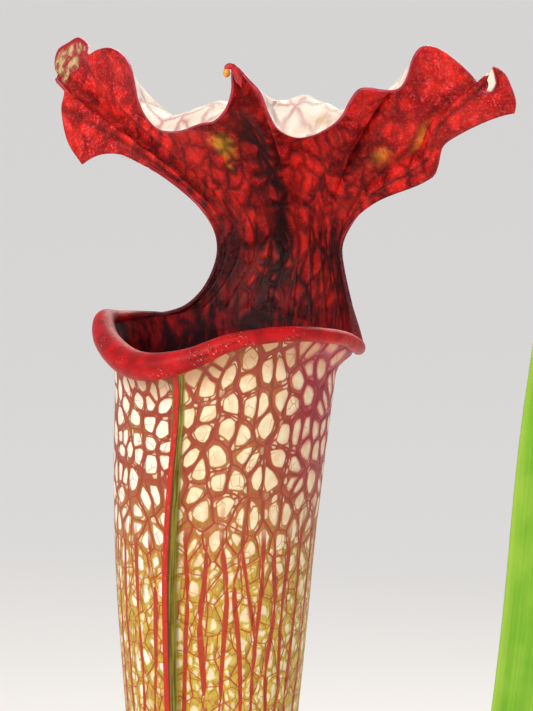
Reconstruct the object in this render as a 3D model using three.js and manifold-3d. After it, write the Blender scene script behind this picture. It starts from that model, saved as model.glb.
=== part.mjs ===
// A potted trumpet pitcher plant of the Sarracenia x areolata kind. One tall pitcher carries its look:
// a pale tube with a narrow wing, a rolled red lip with a spout, and a red hood with a waved margin on a neck.
// Two smaller pitchers, an unopened one and sword-shaped flat leaves grow from the same rhizome,
// which sits in peat in a plain round pot. Millimetres, +Z up, origin at the centre of the pot's base.
// A pitcher's own directions are across (to the right of someone who faces it), up, and forward.
import * as THREE from "three";
import Module from "manifold-3d";
import { mergeVertices } from "three/addons/utils/BufferGeometryUtils.js";

const wasm = await Module();
wasm.setup();

// Pot
const potHeight = 120;
const potBaseRadius = 50;
const potTopRadius = 66;
const potWall = 2.2;
const potFloor = 3;
const rimBand = { height: 20, out: 3 };
const drainHole = { radius: 4.5, circle: 36, count: 6 };

// Soil and rhizome
const soilTop = 104;
const gap = 0.3;
const rhizomeRadius = 10.5;
const footDepth = 7;
const footStub = 16;
const footRadius = { pitcher: 5.2, flat: 3.1, unopened: 3 };
const flatFoot = { half: 2.6, thick: 1.9, leastThick: 0.5 };

// A full-size pitcher, at scale 1
const wall = 0.9;
const tubeTopRadius = 18;
const hollowDepth = 225;
const wing = { height: 3.2, halfRoot: 1.1, halfEdge: 0.45, turn: 7 };
const neckHalfAngle = 62;
const waist = { up: 13, halfWidth: 11.6, back: 3, at: 0.3 };
const hoodThickness = 0.8;
const thinnestBlade = 0.62;
const lowerLobe = { at: 0.7, inner: 0.14, outer: 0.035, drop: 3.2 };
// How the hood's two side edges leave the rim: across, up, forward
const neckEdges = { left: [14, 2, -12], right: [-6, 12, -7] };

// Tube radius and sideways sway by distance below the mouth
const tubeProfile = [
  [0, 18, 0], [10, 17.4, -0.3], [20, 17, -0.9], [34, 16.2, -1.5], [45, 15.5, -1.6], [56, 14.6, -1.5],
  [75, 13, -1.3], [100, 11.3, -0.8], [140, 9, -0.3], [180, 7, 0], [220, 5.6, 0], [260, 4.4, 0],
  [300, 3.7, 0], [345, 4.6, 0], [370, 5, 0],
];

// Height of the lip above the mouth's centre, by angle from the wing: the dip near 0 is the spout
const lipHeights = [
  [-150, 0.6], [-118, 0.4], [-90, 0.8], [-62, 1.2], [-40, -1.2], [-12, -3.8], [12, -2.4],
  [34, 0.8], [60, 1.8], [90, 0.4], [118, -2.4], [150, -1.4], [180, 0],
];

// Radius of the rolled lip by the same angle; nothing is rolled at the back, where the neck carries on
const lipRolls = [
  [-150, 0.1], [-118, 0.7], [-90, 1], [-62, 1.6], [-40, 2], [-12, 2.3], [12, 1.9],
  [41, 1.5], [90, 1.4], [118, 1.2], [150, 0.1], [180, 0.05],
];

// Distance of the lip's middle from the tube's axis by the same angle
const rimRadii = [
  [-150, 18.4], [-118, 19.4], [-90, 19.6], [-62, 19.5], [-12, 20], [34, 20],
  [60, 20.2], [90, 20.8], [112, 21.2], [135, 20], [155, 18.6], [180, 18],
];

// Hood margin from the viewer's left to right: place across the hood, then the point (across, up, forward
// of the mouth's centre) and the tangent with which a vein runs out there.
// A tangent that points down is a lappet folded over.
const hoodMargin = [
  [-1, -40.1, 23.5, -19, -28, -22, 0],
  [-0.93, -43.1, 27.4, -19, -24, -6, -2],
  [-0.87, -45, 32.5, -20, -24, 6, -4],
  [-0.82, -45.2, 35.8, -21, -22, 12, -8],
  [-0.785, -49.7, 37.5, -25, -20, 12, -20],
  [-0.745, -52.6, 39.9, -28, -18, 14, -24],
  [-0.715, -52.6, 42.3, -29, -14, 18, -24],
  [-0.69, -49.8, 43.6, -28, -10, 20, -22],
  [-0.66, -46.2, 44.7, -26, -10, 22, -18],
  [-0.64, -41.7, 43.6, -22, -8, 24, -14],
  [-0.62, -38.9, 42.2, -19, -8, 26, -10],
  [-0.595, -36.4, 43.1, -18, -5, 28, -6],
  [-0.56, -32.7, 43.6, -16, -2, 28, -4],
  [-0.52, -29, 42.7, -14, 0, 26, 0],
  [-0.49, -26.3, 41, -12, 0, 20, 6],
  [-0.45, -24.1, 38.2, -10, -3, 10, 12],
  [-0.41, -22.5, 35, -9, -6, 0, 17],
  [-0.365, -19.8, 32.5, -7.5, -6, -12, 20],
  [-0.32, -16.6, 31, -6, -4, -24, 22],
  [-0.27, -13.3, 30.8, -5, -4, -34, 24],
  [-0.225, -10.5, 31.3, -4.5, -3, -36, 24],
  [-0.175, -7.3, 32.4, -4, -2, -34, 24],
  [-0.13, -4.4, 33, -3.5, -1, -24, 23],
  [-0.087, -1.8, 35.1, -2.5, 0, -8, 21],
  [-0.04, 0.1, 38.2, -1, -1, 6, 20],
  [0, 0.8, 42, 0, -8, 12, 20],
  [0.045, 3.5, 39.7, -0.5, 3, 10, 20],
  [0.087, 5.2, 37.8, -1, 4, 0, 21],
  [0.13, 6.1, 34.7, -2, 4, -22, 24],
  [0.175, 7.6, 32.3, -2.5, 4, -40, 26],
  [0.24, 10.4, 31, -3, 4, -54, 28],
  [0.3, 12.9, 31.3, -4, 5, -46, 26],
  [0.35, 15.2, 32.5, -5, 6, -34, 24],
  [0.395, 16.9, 34.3, -6.5, 8, -14, 20],
  [0.435, 17.7, 36.9, -8, 8, 2, 14],
  [0.48, 18.7, 38.6, -9, 9, 10, 9],
  [0.52, 20.4, 38.9, -9.5, 9, 10, 8],
  [0.56, 22.8, 38.5, -10, 9, 0, 13],
  [0.595, 24.8, 38.9, -11, 12, -12, 17],
  [0.62, 25.7, 40.9, -12, 13, -4, 14],
  [0.64, 26, 43.5, -13, 11, 14, 6],
  [0.665, 26.9, 45.4, -14, 8, 24, 3],
  [0.7, 28.7, 45.5, -15, 10, 25, 1],
  [0.74, 31.3, 44.1, -15.5, 14, 20, 0],
  [0.79, 34.4, 41.5, -16, 17, 12, 4],
  [0.825, 36.8, 38.9, -16, 20, 2, 10],
  [0.85, 38.4, 38.7, -16, 24, -6, 12],
  [0.87, 39.5, 40.3, -15.5, 24, 0, 10],
  [0.89, 39, 42.6, -15, 18, 18, 4],
  [0.92, 40.4, 41.7, -16, 20, 14, 2],
  [0.955, 41.3, 39.3, -17, 24, 8, 1],
  [0.98, 41.6, 37.1, -18, 26, 6, 0],
  [1, 41, 35.5, -19, 28, 4, 0],
];

// Pitchers: foot and mouth in the row frame, scale, turn of the wing to the viewer's left, and mesh steps
const pitchers = [
  { name: "pitcher_tall", foot: [-8, -2], mouth: [6, 0, 345], scale: 1, turn: 30, mirror: 1, spread: 1,
    around: 26, rows: 22, hoodAcross: 46, hoodUp: 12, lipSteps: 36, lipSides: 7 },
  { name: "pitcher_middle", foot: [-7, 11], mouth: [-36, 38, 226], scale: 0.74, turn: 128, mirror: -1,
    spread: 0.86, around: 16, rows: 13, hoodAcross: 26, hoodUp: 8, lipSteps: 22, lipSides: 5 },
  { name: "pitcher_low", foot: [-21, 3], mouth: [-42, -36, 168], scale: 0.6, turn: 52, mirror: 1, spread: 0.78,
    around: 16, rows: 12, hoodAcross: 26, hoodUp: 8, lipSteps: 22, lipSides: 5 },
];
const unopened = { foot: [4, -9], lean: [14, -12], height: 148, radius: 5.2 };

// Flat leaves: foot, half width, the way the face looks, and points up the blade (x, y, height over the soil)
const flatLeaves = [
  { name: "flat_leaf_tall", foot: [16, -1], halfWidth: 9, face: [-0.25, -1], steps: 26,
    path: [[20, -1, 40], [34, -1, 130], [50, 0, 225], [58.4, 1, 285], [61.2, 2, 328], [64.5, 3, 372],
      [66, 4, 402]] },
  { name: "flat_leaf_short", foot: [20, 9], halfWidth: 6.5, face: [-1, 0.3], steps: 16,
    path: [[26, 12, 40], [40, 20, 100], [58, 30, 150], [78, 40, 182]] },
  { name: "flat_leaf_low", foot: [7, 11], halfWidth: 5.5, face: [-0.3, 1], steps: 14,
    path: [[10, 17, 34], [15, 28, 80], [26, 45, 120], [40, 62, 142]] },
];

const degrees = Math.PI / 180;
const clamp = (x) => Math.min(1, Math.max(0, x));
const ease = (x) => clamp(x) ** 2 * (3 - 2 * clamp(x));

// A value, or several, read from rows of [x, values...] along a smooth curve, which may repeat after a period
function read(rows, x, period = 0) {
  let keys = rows;
  if (period) {
    const turned = (row, by) => [row[0] + by, ...row.slice(1)];
    keys = [turned(rows.at(-2), -period), turned(rows.at(-1), -period), ...rows,
      turned(rows[0], period), turned(rows[1], period)];
  }
  let i = 0;
  while (i < keys.length - 2 && keys[i + 1][0] < x) i += 1;
  const step = keys[i + 1][0] - keys[i][0];
  const u = (x - keys[i][0]) / step;
  const slope = (k, c) => {
    const a = keys[Math.max(k - 1, 0)];
    const b = keys[Math.min(k + 1, keys.length - 1)];
    return ((b[c] - a[c]) / (b[0] - a[0])) * step;
  };
  const [here, next] = [keys[i], keys[i + 1]];
  return here.slice(1).map((value, n) => hermite(value, slope(i, n + 1), next[n + 1], slope(i + 1, n + 1), u));
}

function hermite(a, slopeA, b, slopeB, u) {
  return (2 * u ** 3 - 3 * u ** 2 + 1) * a + (u ** 3 - 2 * u ** 2 + u) * slopeA
    + (3 * u ** 2 - 2 * u ** 3) * b + (u ** 3 - u ** 2) * slopeB;
}

const hermitePoint = (a, slopeA, b, slopeB, u) => a.map((x, n) => hermite(x, slopeA[n], b[n], slopeB[n], u));

// The pitcher at scale 1, in its own directions from the mouth's centre
function turnedAngle(angle) {
  const t = ((angle + 180) % 360 + 360) % 360 - 180;
  return t === -180 ? 180 : t;
}

function rimPoint(angle) {
  const t = turnedAngle(angle);
  const [radius] = read(rimRadii, t, 360);
  const [up] = read(lipHeights, t, 360);
  return [radius * Math.sin(t * degrees), up, radius * Math.cos(t * degrees)];
}

function hoodPoint(across, along) {
  const base = rimPoint(180 - across * neckHalfAngle);
  const waistAngle = across * Math.asin(waist.halfWidth / tubeTopRadius);
  const middle = [
    tubeTopRadius * Math.sin(waistAngle),
    waist.up - 1.5 * across ** 2 + 0.6 * across,
    -tubeTopRadius * Math.cos(waistAngle) - waist.back,
  ];
  const margin = read(hoodMargin, across);
  const rise = [0, 34 - 12 * Math.abs(across), 3 * (1 - across ** 2)];
  const side = across ** 2;
  const edge = across < 0 ? neckEdges.left : neckEdges.right;
  const leave = [0, 15, 0].map((x, n) => x + (edge[n] - x) * side);
  const reach = waist.at / (1 - waist.at);
  const point = along < waist.at
    ? hermitePoint(base, leave, middle, rise.map((x) => x * reach), along / waist.at)
    : hermitePoint(middle, rise, margin.slice(0, 3), margin.slice(3), (along - waist.at) / (1 - waist.at));
  const lobeWidth = along < lowerLobe.at ? lowerLobe.inner : lowerLobe.outer;
  const bend = ((along - lowerLobe.at) / lobeWidth) ** 2;
  const hang = lowerLobe.drop * ease((across - 0.6) / 0.4) * Math.exp(-bend);
  return [point[0] + 0.5 * hang, point[1] - hang, point[2]];
}

// Places a pitcher's own directions in the row frame, and bends its tube down to the foot
class Pitcher {
  constructor(p) {
    Object.assign(this, p);
    const turn = p.turn * degrees;
    this.mouthCentre = new THREE.Vector3(p.mouth[0], p.mouth[1], soilTop + p.mouth[2]);
    const foot = new THREE.Vector3(p.foot[0], p.foot[1], soilTop - footDepth);
    const reach = this.mouthCentre.z - foot.z;
    const away = new THREE.Vector3().subVectors(this.mouthCentre, foot).setZ(0);
    this.axis = new THREE.CubicBezierCurve3(
      foot,
      foot.clone().addScaledVector(away, 0.42).setZ(foot.z + reach * 0.3),
      this.mouthCentre.clone().addScaledVector(away, -0.12).setZ(foot.z + reach * 0.62),
      this.mouthCentre,
    );
    this.axis.arcLengthDivisions = 400;
    this.length = this.axis.getLength();
    this.forward = new THREE.Vector3(-Math.sin(turn), -Math.cos(turn), 0);
    this.tubeScale = (this.length / p.scale) / 352;
  }
  frameAt(below) {
    const u = clamp(1 - below / this.length);
    const up = this.axis.getTangentAt(u);
    const across = new THREE.Vector3().crossVectors(up, this.forward).normalize();
    return { at: this.axis.getPointAt(u), up, across, forward: new THREE.Vector3().crossVectors(across, up) };
  }
  place([across, up, forward], frame = this.frameAt(0)) {
    return frame.at.clone()
      .addScaledVector(frame.across, across * this.scale)
      .addScaledVector(frame.up, up * this.scale)
      .addScaledVector(frame.forward, forward * this.scale);
  }
  hood(across, along) {
    const [x, y, z] = hoodPoint(across * this.mirror, along);
    const widen = 1 + (this.spread - 1) * ease((along - waist.at) / 0.5);
    return this.place([x * this.mirror * widen, y, z]);
  }
  rim(angle) {
    const [x, y, z] = rimPoint(angle * this.mirror);
    return this.place([x * this.mirror, y, z]);
  }
  lipRoll(angle) {
    return read(lipRolls, turnedAngle(angle * this.mirror), 360)[0] * this.scale;
  }
  // A point of the tube's wall: the angle from the wing, distance below the mouth, and offset out from mid wall
  tube(angle, below, out) {
    const t = turnedAngle(angle * this.mirror);
    const near = Math.exp(-((below / this.scale / 14) ** 2));
    const roll = read(lipRolls, t, 360)[0];
    // At the back the tube's edge is tucked up inside the neck
    const tuck = ease((Math.abs(t) - 125) / 20);
    const drop = (read(lipHeights, t, 360)[0] - roll - gap / this.scale) * near + 1.1 * tuck * near;
    const rim = rimPoint(t);
    const reach = Math.min(Math.hypot(rim[0], rim[2]) - tubeTopRadius - roll * 0.7, 1.3);
    const flare = (reach - (0.45 * tuck) / this.scale) * Math.exp(-((below / this.scale / 2) ** 2));
    const [middle, sway] = read(tubeProfile, below / this.scale / this.tubeScale);
    const radius = middle + flare + (out - wall / 2) / this.scale;
    const side = angle * degrees;
    const across = radius * Math.sin(side) + sway * this.mirror;
    return this.place([across, drop, radius * Math.cos(side)], this.frameAt(below));
  }
}

// Closed meshes from rings of points
function geometryOf(points, faces) {
  const geometry = new THREE.BufferGeometry().setFromPoints(points);
  geometry.setIndex(faces);
  geometry.computeVertexNormals();
  return geometry;
}

// Joins rings, each anticlockwise seen from the end the list runs to, and closes both ends with a point
function lofted(rings, start, end) {
  const sides = rings[0].length;
  const points = [...rings.flat(), start, end];
  const faces = [];
  for (let r = 0; r + 1 < rings.length; r += 1) {
    for (let i = 0; i < sides; i += 1) {
      const a = r * sides + i;
      const b = r * sides + ((i + 1) % sides);
      faces.push(a, b, b + sides, a, b + sides, a + sides);
    }
  }
  const last = (rings.length - 1) * sides;
  for (let i = 0; i < sides; i += 1) {
    const j = (i + 1) % sides;
    faces.push(points.length - 2, j, i, points.length - 1, last + i, last + j);
  }
  return geometryOf(points, faces);
}

// A round or oval section carried along a curve, with its own size at each step
function swept(curve, steps, sides, sizeAt, face = null) {
  const frames = curve.computeFrenetFrames(steps, false);
  const rings = [];
  for (let k = 0; k <= steps; k += 1) {
    const at = curve.getPointAt(k / steps);
    const tangent = frames.tangents[k];
    const x = face ? new THREE.Vector3().crossVectors(face, tangent).normalize() : frames.normals[k];
    const y = new THREE.Vector3().crossVectors(tangent, x).normalize();
    const [wide, thick] = sizeAt(k / steps);
    rings.push(Array.from({ length: sides }, (_, i) => {
      const angle = (i / sides) * 2 * Math.PI;
      return at.clone().addScaledVector(x, wide * Math.cos(angle)).addScaledVector(y, thick * Math.sin(angle));
    }));
  }
  return lofted(rings, curve.getPointAt(0), curve.getPointAt(1));
}

// A thin sheet of even thickness, split alike on both faces
function sheet(across, along, pointAt, thickness) {
  const nudge = 1e-3;
  const points = [];
  for (const side of [1, -1]) {
    for (let j = 0; j <= along; j += 1) {
      for (let i = 0; i <= across; i += 1) {
        const s = -1 + (2 * i) / across;
        const t = j / along;
        const alongS = pointAt(Math.min(1, s + nudge), t).sub(pointAt(Math.max(-1, s - nudge), t));
        const alongT = pointAt(s, Math.min(1, t + nudge)).sub(pointAt(s, Math.max(0, t - nudge)));
        const normal = alongS.cross(alongT).normalize();
        points.push(pointAt(s, t).addScaledVector(normal, (side * thickness) / 2));
      }
    }
  }
  const row = across + 1;
  const back = row * (along + 1);
  const faces = [];
  const quad = (a, b, c, d) => faces.push(a, b, c, a, c, d);
  for (let j = 0; j < along; j += 1) {
    for (let i = 0; i < across; i += 1) {
      const a = j * row + i;
      quad(a, a + 1, a + row + 1, a + row);
      faces.push(a + back, a + back + row + 1, a + back + 1, a + back, a + back + row, a + back + row + 1);
    }
  }
  for (let i = 0; i < across; i += 1) {
    const top = along * row + i;
    quad(i + back, i + back + 1, i + 1, i);
    quad(top, top + 1, top + back + 1, top + back);
  }
  for (let j = 0; j < along; j += 1) {
    const a = j * row;
    const b = a + across;
    quad(a, a + row, a + row + back, a + back);
    quad(b + back, b + row + back, b + row, b);
  }
  return geometryOf(points, faces);
}

// Booleans
function solid(geometry) {
  const bare = geometry.clone();
  bare.deleteAttribute("normal");
  bare.deleteAttribute("uv");
  const merged = mergeVertices(bare, 1e-4);
  const mesh = new wasm.Mesh({
    numProp: 3,
    vertProperties: new Float32Array(merged.attributes.position.array),
    triVerts: new Uint32Array(merged.index.array),
  });
  return new wasm.Manifold(mesh);
}

function biggest(body) {
  return body.decompose().sort((a, b) => b.volume() - a.volume())[0];
}

function geometryFrom(body) {
  const { vertProperties, triVerts, numProp } = biggest(body).getMesh();
  const points = [];
  for (let i = 0; i < vertProperties.length; i += numProp) {
    points.push(new THREE.Vector3(...vertProperties.slice(i, i + 3)));
  }
  return geometryOf(points, Array.from(triVerts));
}

// Leaves
function tubeGeometry(p) {
  const rootArc = wing.halfRoot * p.scale;
  const edgeArc = wing.halfEdge * p.scale;
  const free = p.around - 4;
  // Columns round the tube: four for the wing, the rest evenly spread
  const columns = (radius) => {
    const root = rootArc / radius / degrees;
    const edge = edgeArc / radius / degrees;
    const rest = Array.from({ length: free }, (_, i) => root + ((360 - 2 * root) * (i + 1)) / (free + 1));
    const columns = [[-root, 0], [-edge, 1], [edge, 1], [root, 0], ...rest.map((angle) => [angle, 0])];
    return columns.map(([angle, isWing]) => [angle + wing.turn * p.mirror, isWing]);
  };
  const ringAt = (below, out, wingHeight) => {
    const radius = read(tubeProfile, below / p.scale / p.tubeScale)[0] * p.scale;
    return columns(radius).map(([angle, isWing]) => p.tube(angle, below, out + isWing * wingHeight));
  };
  const rows = Array.from({ length: p.rows }, (_, j) => p.length * (1 - j / p.rows) ** 1.35);
  rows.push(2 * p.scale, 0);
  const wingAt = (below) => wing.height * p.scale * (0.25 + 0.75 * ease(below / (40 * p.scale)))
    * ease((p.length - footDepth - 12 - below) / (60 * p.scale));
  const outer = rows.map((below) => ringAt(below, wall / 2, wingAt(below)));
  const hollow = rows.filter((below) => below < hollowDepth * p.scale).reverse();
  const inner = hollow.map((below) => ringAt(below, -wall / 2, 0));
  return lofted([...outer, ...inner], p.axis.getPointAt(0), p.frameAt(hollowDepth * p.scale).at);
}

function lipCurve(p) {
  const neckSteps = 7;
  const neckTop = 0.42;
  const points = [];
  for (let k = neckSteps; k > 0; k -= 1) points.push(p.hood(1, (neckTop * k) / neckSteps));
  const front = 2 * (180 - neckHalfAngle);
  const frontSteps = 22;
  for (let k = 0; k <= frontSteps; k += 1) points.push(p.rim(180 - neckHalfAngle - (front * k) / frontSteps));
  for (let k = 1; k <= neckSteps; k += 1) points.push(p.hood(-1, (neckTop * k) / neckSteps));
  return new THREE.CatmullRomCurve3(points);
}

function hoodGeometry(p) {
  const thickness = Math.max(hoodThickness * p.scale, thinnestBlade);
  const blade = solid(sheet(p.hoodAcross, p.hoodUp, (s, t) => p.hood(s, t), thickness));
  const curve = lipCurve(p);
  const centre = p.mouthCentre;
  const frame = p.frameAt(0);
  const size = (u) => {
    const from = curve.getPointAt(u).sub(centre);
    const angle = Math.atan2(from.dot(frame.across), from.dot(frame.forward)) / degrees;
    const fade = Math.min(ease(u / 0.2), ease((1 - u) / 0.2));
    const roll = Math.max((0.52 + 0.35 * fade) * thickness, p.lipRoll(angle) * fade);
    return [roll, roll];
  };
  const roll = solid(swept(curve, p.lipSteps, p.lipSides, size));
  return geometryFrom(blade.add(roll));
}

function flatLeafCurve(leaf) {
  const [x, y] = leaf.foot;
  return new THREE.CatmullRomCurve3([
    new THREE.Vector3(x, y, soilTop - footDepth),
    new THREE.Vector3(x, y, soilTop + 4),
    ...leaf.path.map(([px, py, up]) => new THREE.Vector3(px, py, soilTop + up)),
  ]);
}

function flatLeafGeometry(leaf) {
  const taper = (u) => leaf.halfWidth * 0.97 * clamp((u - 0.66) / 0.34) ** 2.6;
  const size = (u) => [
    flatFoot.half + (leaf.halfWidth - flatFoot.half) * ease((u - 0.02) / 0.5) - taper(u),
    Math.max(flatFoot.leastThick, flatFoot.thick - 3.6 * u),
  ];
  return swept(flatLeafCurve(leaf), leaf.steps, 6, size, new THREE.Vector3(...leaf.face, 0).normalize());
}

function unopenedGeometry() {
  const { foot, lean, height, radius } = unopened;
  const at = (dx, dy, up) => new THREE.Vector3(foot[0] + dx, foot[1] + dy, soilTop + up);
  const curve = new THREE.CatmullRomCurve3([
    at(0, 0, -footDepth), at(lean[0] * 0.2, lean[1] * 0.2, height * 0.3),
    at(lean[0] * 0.6, lean[1] * 0.6, height * 0.7), at(lean[0], lean[1], height),
  ]);
  const size = (u) => {
    const body = 2.4 + (radius - 2.4) * ease((u - 0.1) / 0.68);
    const tip = Math.sqrt(clamp((1.0 - u) / 0.2));
    return [body * tip + 0.15, body * tip * (1 - 0.25 * ease((u - 0.75) / 0.2)) + 0.15];
  };
  return swept(curve, 18, 10, size, new THREE.Vector3(1, 0.4, 0).normalize());
}

// Rhizome, soil and pot
const rhizomeAxis = new THREE.CatmullRomCurve3([
  new THREE.Vector3(-31, 3, soilTop - 9), new THREE.Vector3(-16, 3, soilTop - 6.5),
  new THREE.Vector3(2, 1, soilTop - 6), new THREE.Vector3(24, 3, soilTop - 7.5),
]);
const rootEnds = [[-34, -14, 38], [-14, 30, 22], [8, -30, 30], [30, 22, 40]];

function rhizomeBody(grow) {
  const size = (u) => {
    const scars = 0.5 * Math.cos(u * 2 * Math.PI * 7);
    const ends = Math.sqrt(clamp(Math.min(u, 1 - u) / 0.12));
    const radius = (rhizomeRadius + scars) * Math.max(ends, 0.25) + grow;
    return [radius * 1.15, radius * 0.85];
  };
  let body = solid(swept(rhizomeAxis, 16, 12, size, new THREE.Vector3(0, 0, 1)));
  rootEnds.forEach(([x, y, z], k) => {
    const from = rhizomeAxis.getPointAt(0.14 + 0.24 * k).add(new THREE.Vector3(0, 0, -4));
    const knee = new THREE.Vector3((from.x + x) / 2 + 4, (from.y + y) / 2, from.z - 26);
    const root = new THREE.QuadraticBezierCurve3(from, knee, new THREE.Vector3(x, y, z));
    body = body.add(solid(swept(root, 5, 5, (u) => [1.9 - 1.2 * u + grow, 1.9 - 1.2 * u + grow])));
  });
  return body;
}

// The feet of all leaves, grown by a clearance, to cut their holes
function feet(grow, shapes) {
  const stub = (curve, u0, u1, radius) => {
    const start = curve.getPointAt(u0);
    const end = curve.getPointAt(u1);
    const along = new THREE.Vector3().subVectors(end, start).normalize();
    const line = new THREE.LineCurve3(start.addScaledVector(along, -grow), end);
    return solid(swept(line, 1, 12, () => [radius + grow, radius + grow]));
  };
  return shapes
    .map(({ curve, radius }) => stub(curve, 0, footStub / curve.getLength(), radius))
    .reduce((a, b) => a.add(b));
}

function soilBody() {
  const around = 30;
  const rings = [];
  const innerRadius = (z) => potBaseRadius + ((potTopRadius - potBaseRadius) * z) / potHeight - potWall - gap;
  const bump = (x, y) => 0.9 * Math.sin(x * 0.19 + 1.3) * Math.cos(y * 0.23)
    + 0.6 * Math.sin(x * 0.41 - y * 0.37);
  const ring = (radius, height) => Array.from({ length: around }, (_, i) => {
    const angle = (i / around) * 2 * Math.PI;
    const [x, y] = [radius * Math.cos(angle), radius * Math.sin(angle)];
    return new THREE.Vector3(x, y, height(x, y));
  });
  const low = potFloor + gap;
  rings.push(ring(innerRadius(low), () => low));
  const edge = soilTop - 3;
  rings.push(ring(innerRadius(edge), () => edge));
  for (const share of [0.88, 0.7, 0.5, 0.28]) {
    const heightAt = (x, y) => soilTop + bump(x, y) * (1 - share * 0.4) - 1.2 * share;
    rings.push(ring(innerRadius(soilTop) * share, heightAt));
  }
  return lofted(rings, new THREE.Vector3(0, 0, low), new THREE.Vector3(0, 0, soilTop + 0.3));
}

function potGeometry() {
  const bandFoot = potHeight - rimBand.height;
  const outerAt = (z) => potBaseRadius + ((potTopRadius - potBaseRadius) * z) / potHeight;
  const profile = [
    [0, 0], [potBaseRadius - 2, 0], [potBaseRadius, 2], [outerAt(bandFoot), bandFoot],
    [outerAt(bandFoot) + rimBand.out, bandFoot + 1.5], [potTopRadius + rimBand.out - 0.6, potHeight - 1.2],
    [potTopRadius + rimBand.out - 1.8, potHeight], [potTopRadius - potWall + 0.8, potHeight],
    [potTopRadius - potWall, potHeight - 1], [outerAt(potFloor) - potWall, potFloor], [0, potFloor],
  ].map(([r, z]) => new THREE.Vector2(r, z));
  const turned = new THREE.LatheGeometry(profile, 40);
  turned.rotateX(Math.PI / 2);
  let body = solid(turned);
  for (let k = 0; k < drainHole.count; k += 1) {
    const hole = new THREE.CylinderGeometry(drainHole.radius, drainHole.radius, potFloor * 4, 12);
    hole.rotateX(Math.PI / 2);
    const angle = (k / drainHole.count) * 2 * Math.PI;
    hole.translate(drainHole.circle * Math.cos(angle), drainHole.circle * Math.sin(angle), 0);
    body = body.subtract(solid(hole));
  }
  return geometryFrom(body);
}

// Finishes
const finish = (color, roughness = 0.6) => new THREE.MeshStandardMaterial({ color, roughness, metalness: 0 });
const finishes = {
  pot: finish("#a8593a", 0.65),
  soil: finish("#3a2a1e", 0.95),
  rhizome: finish("#7a4a32", 0.8),
  tube: finish("#e2d9a0", 0.45),
  hood: finish("#b0151c", 0.4),
  leaf: finish("#5f9f28", 0.5),
};

const plant = new THREE.Group();

function addMesh(name, geometry, material) {
  const mesh = new THREE.Mesh(geometry, material);
  mesh.name = name;
  plant.add(mesh);
}

const grown = pitchers.map((p) => new Pitcher(p));
const footShapes = [
  ...grown.map((p) => ({ curve: p.axis, radius: footRadius.pitcher * p.scale })),
  ...flatLeaves.map((leaf) => ({ curve: flatLeafCurve(leaf), radius: footRadius.flat })),
];
const holes = feet(gap, footShapes);
const holeDepth = 30;
const unopenedHole = solid(new THREE.CylinderGeometry(footRadius.unopened, footRadius.unopened, holeDepth, 24)
  .rotateX(Math.PI / 2)
  .translate(unopened.foot[0], unopened.foot[1], soilTop - footDepth - gap + holeDepth / 2));
const allHoles = holes.add(unopenedHole);

addMesh("pot", potGeometry(), finishes.pot);
addMesh("soil", geometryFrom(solid(soilBody()).subtract(rhizomeBody(gap)).subtract(allHoles)), finishes.soil);
addMesh("rhizome", geometryFrom(rhizomeBody(0).subtract(allHoles)), finishes.rhizome);
for (const p of grown) {
  addMesh(`${p.name}_tube`, tubeGeometry(p), finishes.tube);
  addMesh(`${p.name}_hood`, hoodGeometry(p), finishes.hood);
}
addMesh("pitcher_unopened", unopenedGeometry(), finishes.tube);
for (const leaf of flatLeaves) addMesh(leaf.name, flatLeafGeometry(leaf), finishes.leaf);

export default plant;
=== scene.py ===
import bisect
import math
import random

import bmesh
import bpy
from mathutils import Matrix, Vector, noise


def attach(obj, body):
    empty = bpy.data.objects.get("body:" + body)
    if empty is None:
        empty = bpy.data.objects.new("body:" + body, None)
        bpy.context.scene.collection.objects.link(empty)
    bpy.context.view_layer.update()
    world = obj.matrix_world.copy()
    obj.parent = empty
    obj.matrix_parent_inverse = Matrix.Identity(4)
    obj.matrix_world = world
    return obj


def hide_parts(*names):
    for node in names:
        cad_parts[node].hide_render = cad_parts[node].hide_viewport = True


mm = 0.001
soilTop = 104
footDepth = 7  # how far a leaf's foot reaches into the peat
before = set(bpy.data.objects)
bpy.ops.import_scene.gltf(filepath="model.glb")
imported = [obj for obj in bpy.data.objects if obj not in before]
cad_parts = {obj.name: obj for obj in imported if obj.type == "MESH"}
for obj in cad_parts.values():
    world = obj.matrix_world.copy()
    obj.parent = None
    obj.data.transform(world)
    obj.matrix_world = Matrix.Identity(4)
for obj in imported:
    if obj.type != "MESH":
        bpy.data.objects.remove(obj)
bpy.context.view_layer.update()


def toLinear(code):
    parts = [int(code[i:i + 2], 16) / 255 for i in (1, 3, 5)]
    return [c / 12.92 if c <= 0.04045 else ((c + 0.055) / 1.055) ** 2.4 for c in parts] + [1]


# Curves and shape formulas

def clamp(x):
    return min(1, max(0, x))


def ease(x):
    x = clamp(x)
    return x * x * (3 - 2 * x)


def mix(a, b, share):
    return a + (b - a) * share


def hermite(a, slopeA, b, slopeB, u):
    return ((2 * u ** 3 - 3 * u ** 2 + 1) * a + (u ** 3 - 2 * u ** 2 + u) * slopeA
            + (3 * u ** 2 - 2 * u ** 3) * b + (u ** 3 - u ** 2) * slopeB)


def hermitePoint(a, slopeA, b, slopeB, u):
    return [hermite(*values, u) for values in zip(a, slopeA, b, slopeB)]


def spanAt(places, x):
    # which span between rising places holds x, and how far into it x lies
    i = min(max(bisect.bisect_left(places, x) - 1, 0), len(places) - 2)
    return i, (x - places[i]) / max(places[i + 1] - places[i], 1e-9)


def runAlong(points):
    # the length of the line up to each of its points
    run = [0.0]
    for a, b in zip(points, points[1:]):
        run.append(run[-1] + (b - a).length)
    return run


def onCircle(radius, turn):
    return radius * math.cos(turn), radius * math.sin(turn)


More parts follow.
